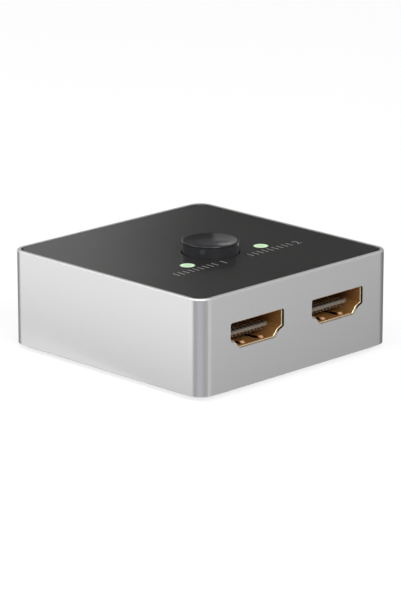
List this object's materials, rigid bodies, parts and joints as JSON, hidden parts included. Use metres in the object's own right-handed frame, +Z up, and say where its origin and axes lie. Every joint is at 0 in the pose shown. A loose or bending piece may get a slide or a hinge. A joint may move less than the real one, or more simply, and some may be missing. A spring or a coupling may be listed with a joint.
{
  "type": "hdmi switch box",
  "caption": "Square two-way video switch box: satin aluminium frame, black top panel, latching push button, status lights, sockets at front and rear.",
  "frame": {"origin": "on the table, under the middle of the box, level with the soles of its feet", "axes": "+Z up, +Y to the rear with the single socket, -Y to the front with two sockets, +X to the right as seen from the front"},
  "size_m": [0.055, 0.055, 0.0233],
  "materials": {
    "frame_aluminium": "bead-blasted and anodised, satin",
    "panel_acrylic": "semi-gloss",
    "tape_foam": "matt",
    "button_plastic": "glossy",
    "switch_nylon": "as moulded",
    "spring_steel": "drawn wire",
    "switch_plastic": "as moulded",
    "pin_tin": "tinned",
    "guide_acrylic": "clear, lit green",
    "lamp_resin": "moulded",
    "board_laminate": "solder mask",
    "chip_epoxy": "as moulded",
    "capacitor_ceramic": "fired",
    "resistor_film": "fired",
    "screw_steel": "zinc plated",
    "cover_plastic": "fine spark texture",
    "foot_rubber": "matt",
    "shell_gold": "gold plated",
    "insulator_plastic": "as moulded",
    "contact_gold": "gold flash"
  },
  "bodies": {
    "housing": {"board_screws": "screw_steel", "body_frame": "frame_aluminium", "bottom_cover": "cover_plastic", "capacitors": "capacitor_ceramic", "circuit_board": "board_laminate", "cover_screws": "screw_steel", "front_left_contacts": "contact_gold", "front_left_insulator": "insulator_plastic", "front_left_shell": "shell_gold", "front_right_contacts": "contact_gold", "front_right_insulator": "insulator_plastic", "front_right_shell": "shell_gold", "light_guide_left": "guide_acrylic", "light_guide_right": "guide_acrylic", "panel_tape": "tape_foam", "rear_contacts": "contact_gold", "rear_insulator": "insulator_plastic", "rear_shell": "shell_gold", "resistors": "resistor_film", "rubber_feet": "foot_rubber", "status_lamps": "lamp_resin", "surge_arrays": "chip_epoxy", "switch_base": "switch_plastic", "switch_chip": "chip_epoxy", "switch_housing": "switch_plastic", "switch_pins": "pin_tin", "switch_spring": "spring_steel", "top_panel": "panel_acrylic"},
    "button": {"button_cap": "button_plastic", "switch_plunger": "switch_nylon"}
  },
  "joints": [
    {"name": "button_press", "type": "slide", "parent": "housing", "child": "button", "axis": [0, 0, -1], "range_m": [0, 0.0018], "stiffness_N_per_m": 600, "springref_m": -0.001, "deforming": ["switch_spring"]}
  ]
}
